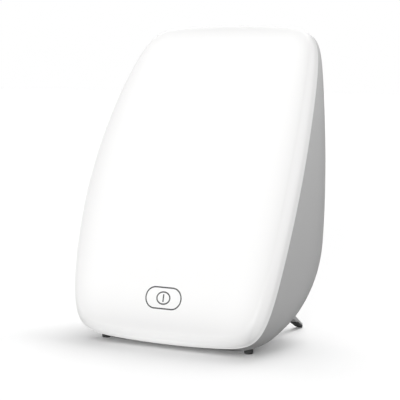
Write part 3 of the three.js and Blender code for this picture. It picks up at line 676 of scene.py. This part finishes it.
# %% Power socket
JACK_FRONT, JACK_WIDTH, JACK_DEPTH, JACK_TALL, JACK_SUNK = 91.15, 9, 12, 11, 0.6
BORE_RADIUS, BORE_DEPTH, NOSE_ROOT, PAST_MOUTH, SOCKET_SIDES = 3.2, 10, 6, 5, 64
SOCKET_ROUNDING = 0.25

bare_selection()
bpy.ops.mesh.primitive_cube_add(size=1)
socket = bpy.context.object
socket.name = "power_socket"
socket.dimensions = (JACK_WIDTH * MM, JACK_DEPTH * MM, JACK_TALL * MM)
socket.location = in_frame(Vector((0, JACK_FRONT + JACK_DEPTH / 2, JACK_HEIGHT)))
bpy.ops.object.transform_apply(location=True, rotation=True, scale=True)
mouth = JACK_MOUTH - JACK_SUNK
boolean(socket, "UNION", rod(
    "nose", NOSE_RADIUS, (0, JACK_FRONT + NOSE_ROOT, JACK_HEIGHT),
    (0, mouth, JACK_HEIGHT), SOCKET_SIDES))
drill(socket, "bore", BORE_RADIUS, (0, mouth - BORE_DEPTH, JACK_HEIGHT),
      (0, mouth + PAST_MOUTH, JACK_HEIGHT), SOCKET_SIDES)
round_edges(socket, SOCKET_ROUNDING)
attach(socket, "lamp")
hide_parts("dc_jack")
print(socket.name, len(socket.data.polygons), "faces")

# %% [markdown]
# ## Finishes
# Every finish starts from a Principled BSDF. Moulded plastic is never one flat colour: it
# has a fine spark grain that breaks up its highlights, and its tone and gloss drift a
# little over a hand's width. One shared effect gives both, and each finish sets its scale.

# %% Shared effect: moulded surface
BROAD_SCALE, BROAD_DETAIL, BROAD_ROUGHNESS, GRAIN_DETAIL = 22, 3, 0.55, 2


def new_group(name, inputs, outputs):
    """A shader node group with named sockets, and its input and output nodes."""
    group = bpy.data.node_groups.new(name, "ShaderNodeTree")
    for label, kind, value in inputs:
        entry = group.interface.new_socket(label, in_out="INPUT", socket_type=kind)
        entry.default_value = value
    for label, kind in outputs:
        group.interface.new_socket(label, in_out="OUTPUT", socket_type=kind)
    start, end = group.nodes.new("NodeGroupInput"), group.nodes.new("NodeGroupOutput")
    return group, start, end


def add_node(tree, kind, links=None, **settings):
    """A node with its properties set and its inputs linked or given a value."""
    node = tree.nodes.new(kind)
    for key, value in settings.items():
        setattr(node, key, value)
    for key, value in (links or {}).items():
        if isinstance(value, bpy.types.NodeSocket):
            tree.links.new(value, node.inputs[key])
        else:
            node.inputs[key].default_value = value
    return node


surface_group, taken, given = new_group(
    "moulded_surface",
    [("Color", "NodeSocketColor", (0.5, 0.5, 0.5, 1)),
     ("Tone Drift", "NodeSocketFloat", 0.04),
     ("Grain Scale", "NodeSocketFloat", 2500),
     ("Roughness", "NodeSocketFloat", 0.5),
     ("Roughness Drift", "NodeSocketFloat", 0.06)],
    [("Color", "NodeSocketColor"), ("Roughness", "NodeSocketFloat"),
     ("Height", "NodeSocketFloat")])
spot = add_node(surface_group, "ShaderNodeTexCoord").outputs["Object"]
broad = add_node(surface_group, "ShaderNodeTexNoise",
                 {"Vector": spot, "Scale": BROAD_SCALE, "Detail": BROAD_DETAIL,
                  "Roughness": BROAD_ROUGHNESS})
grain = add_node(surface_group, "ShaderNodeTexNoise",
                 {"Vector": spot, "Scale": taken.outputs["Grain Scale"],
                  "Detail": GRAIN_DETAIL})
drift = add_node(surface_group, "ShaderNodeMath", {0: broad.outputs["Fac"], 1: 0.5},
                 operation="SUBTRACT")
tone = add_node(surface_group, "ShaderNodeMath",
                {0: drift.outputs[0], 1: taken.outputs["Tone Drift"], 2: 1.0},
                operation="MULTIPLY_ADD")
tinted = add_node(surface_group, "ShaderNodeVectorMath",
                  {0: taken.outputs["Color"], "Scale": tone.outputs[0]}, operation="SCALE")
gloss = add_node(surface_group, "ShaderNodeMath",
                 {0: drift.outputs[0], 1: taken.outputs["Roughness Drift"],
                  2: taken.outputs["Roughness"]}, operation="MULTIPLY_ADD", use_clamp=True)
surface_group.links.new(tinted.outputs[0], given.inputs["Color"])
surface_group.links.new(gloss.outputs[0], given.inputs["Roughness"])
surface_group.links.new(grain.outputs["Fac"], given.inputs["Height"])
print("effect:", surface_group.name)

# %% Finish maker
def finish(name, color, roughness, grain_scale, bump, tone_drift, **shader):
    """A material with the moulded surface; shader values go on the shader's own sockets."""
    material = bpy.data.materials.new(name)
    material.use_nodes = True
    tree = material.node_tree
    principled = tree.nodes["Principled BSDF"]
    effect = add_node(tree, "ShaderNodeGroup", node_tree=surface_group)
    effect.inputs["Color"].default_value = (*color, 1)
    effect.inputs["Tone Drift"].default_value = tone_drift
    effect.inputs["Grain Scale"].default_value = grain_scale
    effect.inputs["Roughness"].default_value = roughness
    tree.links.new(effect.outputs["Color"], principled.inputs["Base Color"])
    tree.links.new(effect.outputs["Roughness"], principled.inputs["Roughness"])
    relief = add_node(tree, "ShaderNodeBump", {
        "Strength": 1.0, "Distance": bump * MM, "Height": effect.outputs["Height"]})
    tree.links.new(relief.outputs["Normal"], principled.inputs["Normal"])
    for key, value in shader.items():
        label = key.replace("_", " ").title().replace("Ior", "IOR")
        principled.inputs[label].default_value = value
    return material


print("inputs:", [entry.name for entry in taken.outputs if entry.name])

# %% [markdown]
# ## Opal glow
# The LEDs light the screen from behind. Its middle is evenly bright, the glow fades over
# the last few centimetres to the rounded edge, and it fades sooner at the bottom, where
# the tray has no LEDs. The outermost millimetres are bright again, and that is painted
# light: an extra glow on the rounded side edges stands in for the light that falls on
# them, and a stronger one on the bottom edge stands in for light bounced up from the white
# floor. The screen gets a UV map whose two shares run across and up the face, so both
# follow the waisted outline. Plain coordinates would cut across it.

# %% Face map
MAP_ROUNDS, CROWN_REACH, FORWARD_SHARE, LAST_SHARE = 12, 117, 0.98, 0.999

face_map = opal_screen.data.uv_layers.new(name="face_map")
for loop in opal_screen.data.loops:
    point = opal_screen.data.vertices[loop.vertex_index].co / MM
    z = point.z - EDGE_HEIGHT
    v = 0.0
    for _ in range(MAP_ROUNDS):
        forward = CROWN_BASE + CROWN * (1 - min(abs(v) / CROWN_REACH, 1) ** 2)
        forward *= FORWARD_SHARE
        sine = (z - forward * math.sin(lean_at(v))) * BEND + math.sin(LEAN_BOTTOM)
        v = (math.asin(min(max(sine, -1), 1)) - LEAN_BOTTOM) / BEND - FACE_LENGTH / 2
    along = min(max(2 * v / FACE_LENGTH, -LAST_SHARE), LAST_SHARE)
    half_width = FACE_HALF_WIDTH * (1 - abs(along) ** OUTLINE_POWER) ** (1 / OUTLINE_POWER)
    half_width *= narrowing(along)
    face_map.data[loop.index].uv = (point.x / max(half_width, 1), 2 * v / FACE_LENGTH)
print("face map:", len(face_map.data), "corners")

# %% Opal finish
# Each start, end and power; a share is -1 or 1 at the face's edges
SIDE_FADE, BOTTOM_FADE = (0.62, 1.0, 2.8), (-0.66, -0.98, 2.2)
TOP_FADE = (0.78, 0.98, 2.0)
# The two edge glows on this line and their levels on the next are painted light: the side
# edges stand in for light falling on them, the bottom edge for light bounced up from the
# floor
SIDE_PAINTED_LIGHT, BOTTOM_PAINTED_BOUNCE = (0.93, 0.985, 1.0), (-0.88, -1.0, 2.6)
GLOW_LEVEL, SIDE_LIGHT_LEVEL, BOTTOM_BOUNCE_LEVEL = 0.215, 0.21, 0.45
GLOW_TINT = (1, 0.998, 0.992)

opal = finish("opal", (0.66, 0.658, 0.656), 0.42, grain_scale=900, bump=0.003,
              tone_drift=0.008, specular_ior_level=0.25, ior=1.49)
opal_tree = opal.node_tree


def calculate(operation, *values):
    """The output of one sum, product or the like in the opal finish."""
    return add_node(opal_tree, "ShaderNodeMath", dict(enumerate(values)),
                    operation=operation).outputs[0]


def climb(value, start, end, power):
    """0 before start, rising to 1 at end, slowly at first."""
    ramp = add_node(opal_tree, "ShaderNodeMapRange", {
        "Value": value, "From Min": start, "From Max": end, "To Min": 0.0, "To Max": 1.0})
    return calculate("POWER", ramp.outputs[0], power)


def fade(value, start, end, power):
    """1 before start, falling to 0 at end, with a soft shoulder."""
    return calculate("SUBTRACT", 1.0, climb(value, start, end, power))


shares = add_node(opal_tree, "ShaderNodeUVMap", uv_map="face_map")
split = add_node(opal_tree, "ShaderNodeSeparateXYZ", {"Vector": shares.outputs["UV"]})
across, up_share = calculate("ABSOLUTE", split.outputs["X"]), split.outputs["Y"]
glow = calculate("MULTIPLY", fade(across, *SIDE_FADE), fade(up_share, *BOTTOM_FADE))
glow = calculate("MULTIPLY", glow, fade(up_share, *TOP_FADE))
# Painted light: extra glow on the rounded side edges, standing in for the light that falls on
# them
painted_side_light = calculate("MULTIPLY", climb(across, *SIDE_PAINTED_LIGHT), SIDE_LIGHT_LEVEL)
# Painted light: extra glow on the bottom edge, standing in for light bounced up from the
# white floor
painted_bounce_light = calculate("MULTIPLY", climb(up_share, *BOTTOM_PAINTED_BOUNCE), BOTTOM_BOUNCE_LEVEL)
# The brighter of the two painted edge lights
rim = calculate("MAXIMUM", painted_side_light, painted_bounce_light)
level = calculate("MULTIPLY_ADD", glow, GLOW_LEVEL, rim)
tint = add_node(opal_tree, "ShaderNodeVectorMath", {0: GLOW_TINT, "Scale": level},
                operation="SCALE")
shader = opal_tree.nodes["Principled BSDF"]
opal_tree.links.new(tint.outputs[0], shader.inputs["Emission Color"])
shader.inputs["Emission Strength"].default_value = 1.0
opal_screen.data.materials.clear()
opal_screen.data.materials.append(opal)
print("opal:", len(opal_tree.nodes), "nodes")

# %% The other finishes
FINISHES = (
    # Name, colour, roughness, grain scale, bump in mm, tone drift
    ("grey_plastic", (0.62, 0.62, 0.62), 0.6, 2600, 0.02, 0.03),
    ("white_plastic", (0.86, 0.86, 0.84), 0.6, 1800, 0.02, 0.03),
    ("white_board", (0.8, 0.81, 0.77), 0.5, 1200, 0.01, 0.05),
    ("green_board", (0.02, 0.11, 0.05), 0.42, 1200, 0.01, 0.2),
    ("black_plastic", (0.018, 0.018, 0.02), 0.42, 2600, 0.02, 0.1),
    ("rubber", (0.022, 0.022, 0.023), 0.8, 1500, 0.05, 0.2),
    ("foam", (0.05, 0.05, 0.055), 0.95, 900, 0.3, 0.3),
    ("steel", (0.62, 0.63, 0.65), 0.3, 1500, 0.005, 0.06),
    ("red_wire", (0.55, 0.045, 0.03), 0.4, 900, 0.01, 0.1),
    ("blue_wire", (0.03, 0.1, 0.55), 0.4, 900, 0.01, 0.1),
    ("ink", (0.05, 0.051, 0.053), 0.55, 3000, 0.003, 0.1),
)
SHADER_VALUES = {"grey_plastic": {"specular_ior_level": 0.2}, "steel": {"metallic": 1.0}}
finishes = {row[0]: finish(*row, **SHADER_VALUES.get(row[0], {})) for row in FINISHES}


def wear(piece, slot):
    """Gives a piece one finish alone."""
    piece.data.materials.clear()
    piece.data.materials.append(finishes[slot])


for part in frame["record"]["subparts"]:
    if part["material_slot"] != "opal":
        wear(frame["nodes"][part["node"]], part["material_slot"])
for piece in bpy.data.objects:
    if piece.name.startswith("key_"):
        wear(piece, "ink")
    elif piece.name.startswith("rubber_"):
        wear(piece, "rubber")
wear(housing_shell, "grey_plastic")
wear(bpy.data.objects["stand_frame"], "grey_plastic")
wear(socket, "black_plastic")
print("finishes:", len(finishes) + 1)

# %% [markdown]
# ## Floor, backdrop and light
# The lamp stands on a white sweep. The camera sees the world as plain white, and the floor
# is diffuse, so it keeps the soft shadow that falls towards the camera. Suns act as distant
# soft boxes: they light a near and a far spot alike, so the floor stays even. The two in
# front stand low and are narrow, so they light the lamp's face but hardly the floor, and
# the shadow under the face stays dark. Three behind the lamp throw that shadow, each at
# its own angle. The level is one at which a colour renders about as it is written.

# %% Floor and world
def backdrop_seen(tree):
    """1 for rays that look at the backdrop itself or at its mirror image."""
    rays = add_node(tree, "ShaderNodeLightPath")
    mirrored = add_node(tree, "ShaderNodeMath", {
        0: rays.outputs["Is Glossy Ray"], 1: rays.outputs["Is Transmission Ray"]},
        operation="MAXIMUM")
    return add_node(tree, "ShaderNodeMath", {
        0: rays.outputs["Is Camera Ray"], 1: mirrored.outputs[0]},
        operation="MAXIMUM").outputs[0]


def between(tree, mask, low, high):
    """low where the mask is 0, high where it is 1."""
    return add_node(tree, "ShaderNodeMapRange", {
        "Value": mask, "To Min": low, "To Max": high}).outputs[0]


FLOOR_SIZE, FLOOR_BOUNCE, FLOOR_SEEN, FLOOR_GLOW = 12, 0.2, 0.9, 0.091
WORLD_LIGHT, WORLD_SEEN = 0.466, 1.0
WHITE = (1, 1, 1, 1)

bare_selection()
bpy.ops.mesh.primitive_plane_add(size=FLOOR_SIZE)
floor = bpy.context.object
floor.name = "floor"
sweep = bpy.data.materials.new("white_sweep")
sweep.use_nodes = True
tree = sweep.node_tree
shader = tree.nodes["Principled BSDF"]
shader.inputs["Roughness"].default_value = 1.0
shader.inputs["Specular IOR Level"].default_value = 0.0
seen = backdrop_seen(tree)
white = add_node(tree, "ShaderNodeCombineColor", {
    name: between(tree, seen, FLOOR_BOUNCE, FLOOR_SEEN)
    for name in ("Red", "Green", "Blue")})
tree.links.new(white.outputs[0], shader.inputs["Base Color"])
tree.links.new(between(tree, seen, 0.0, FLOOR_GLOW), shader.inputs["Emission Strength"])
shader.inputs["Emission Color"].default_value = WHITE
floor.data.materials.append(sweep)

world = bpy.data.worlds.new("studio")
bpy.context.scene.world = world
world.use_nodes = True
tree = world.node_tree
backdrop = tree.nodes["Background"]
backdrop.inputs["Color"].default_value = WHITE
tree.links.new(between(tree, backdrop_seen(tree), WORLD_LIGHT, WORLD_SEEN),
               backdrop.inputs["Strength"])
print("floor:", FLOOR_SIZE, "m, world light:", WORLD_LIGHT)

# %% Suns
SUNS = (
    # Name, turn from the front towards +X, rise, level, spread; angles in degrees
    ("front_sun", 15, 5, 0.82, 16),
    ("left_sun", -60, 5, 0.222, 16),
    ("right_rear_sun", 150, 45, 0.132, 50),
    ("steep_sun", 165, 62, 0.25, 24),
    ("rear_sun", 210, 45, 0.296, 50),
)


def soft_sun(name, turn, rise, level, spread):
    """A sun that looks at the lamp, as wide as a soft box."""
    bare_selection()
    bpy.ops.object.light_add(type="SUN")
    sun = bpy.context.object
    sun.name = name
    turn, rise = math.radians(turn), math.radians(rise)
    to_sun = Vector((math.sin(turn) * math.cos(rise), -math.cos(turn) * math.cos(rise),
                     math.sin(rise)))
    sun.rotation_euler = to_sun.to_track_quat("Z", "Y").to_euler()
    sun.data.energy = level * math.pi
    sun.data.angle = math.radians(spread)


for row in SUNS:
    soft_sun(*row)
bpy.context.scene.view_settings.view_transform = "Standard"
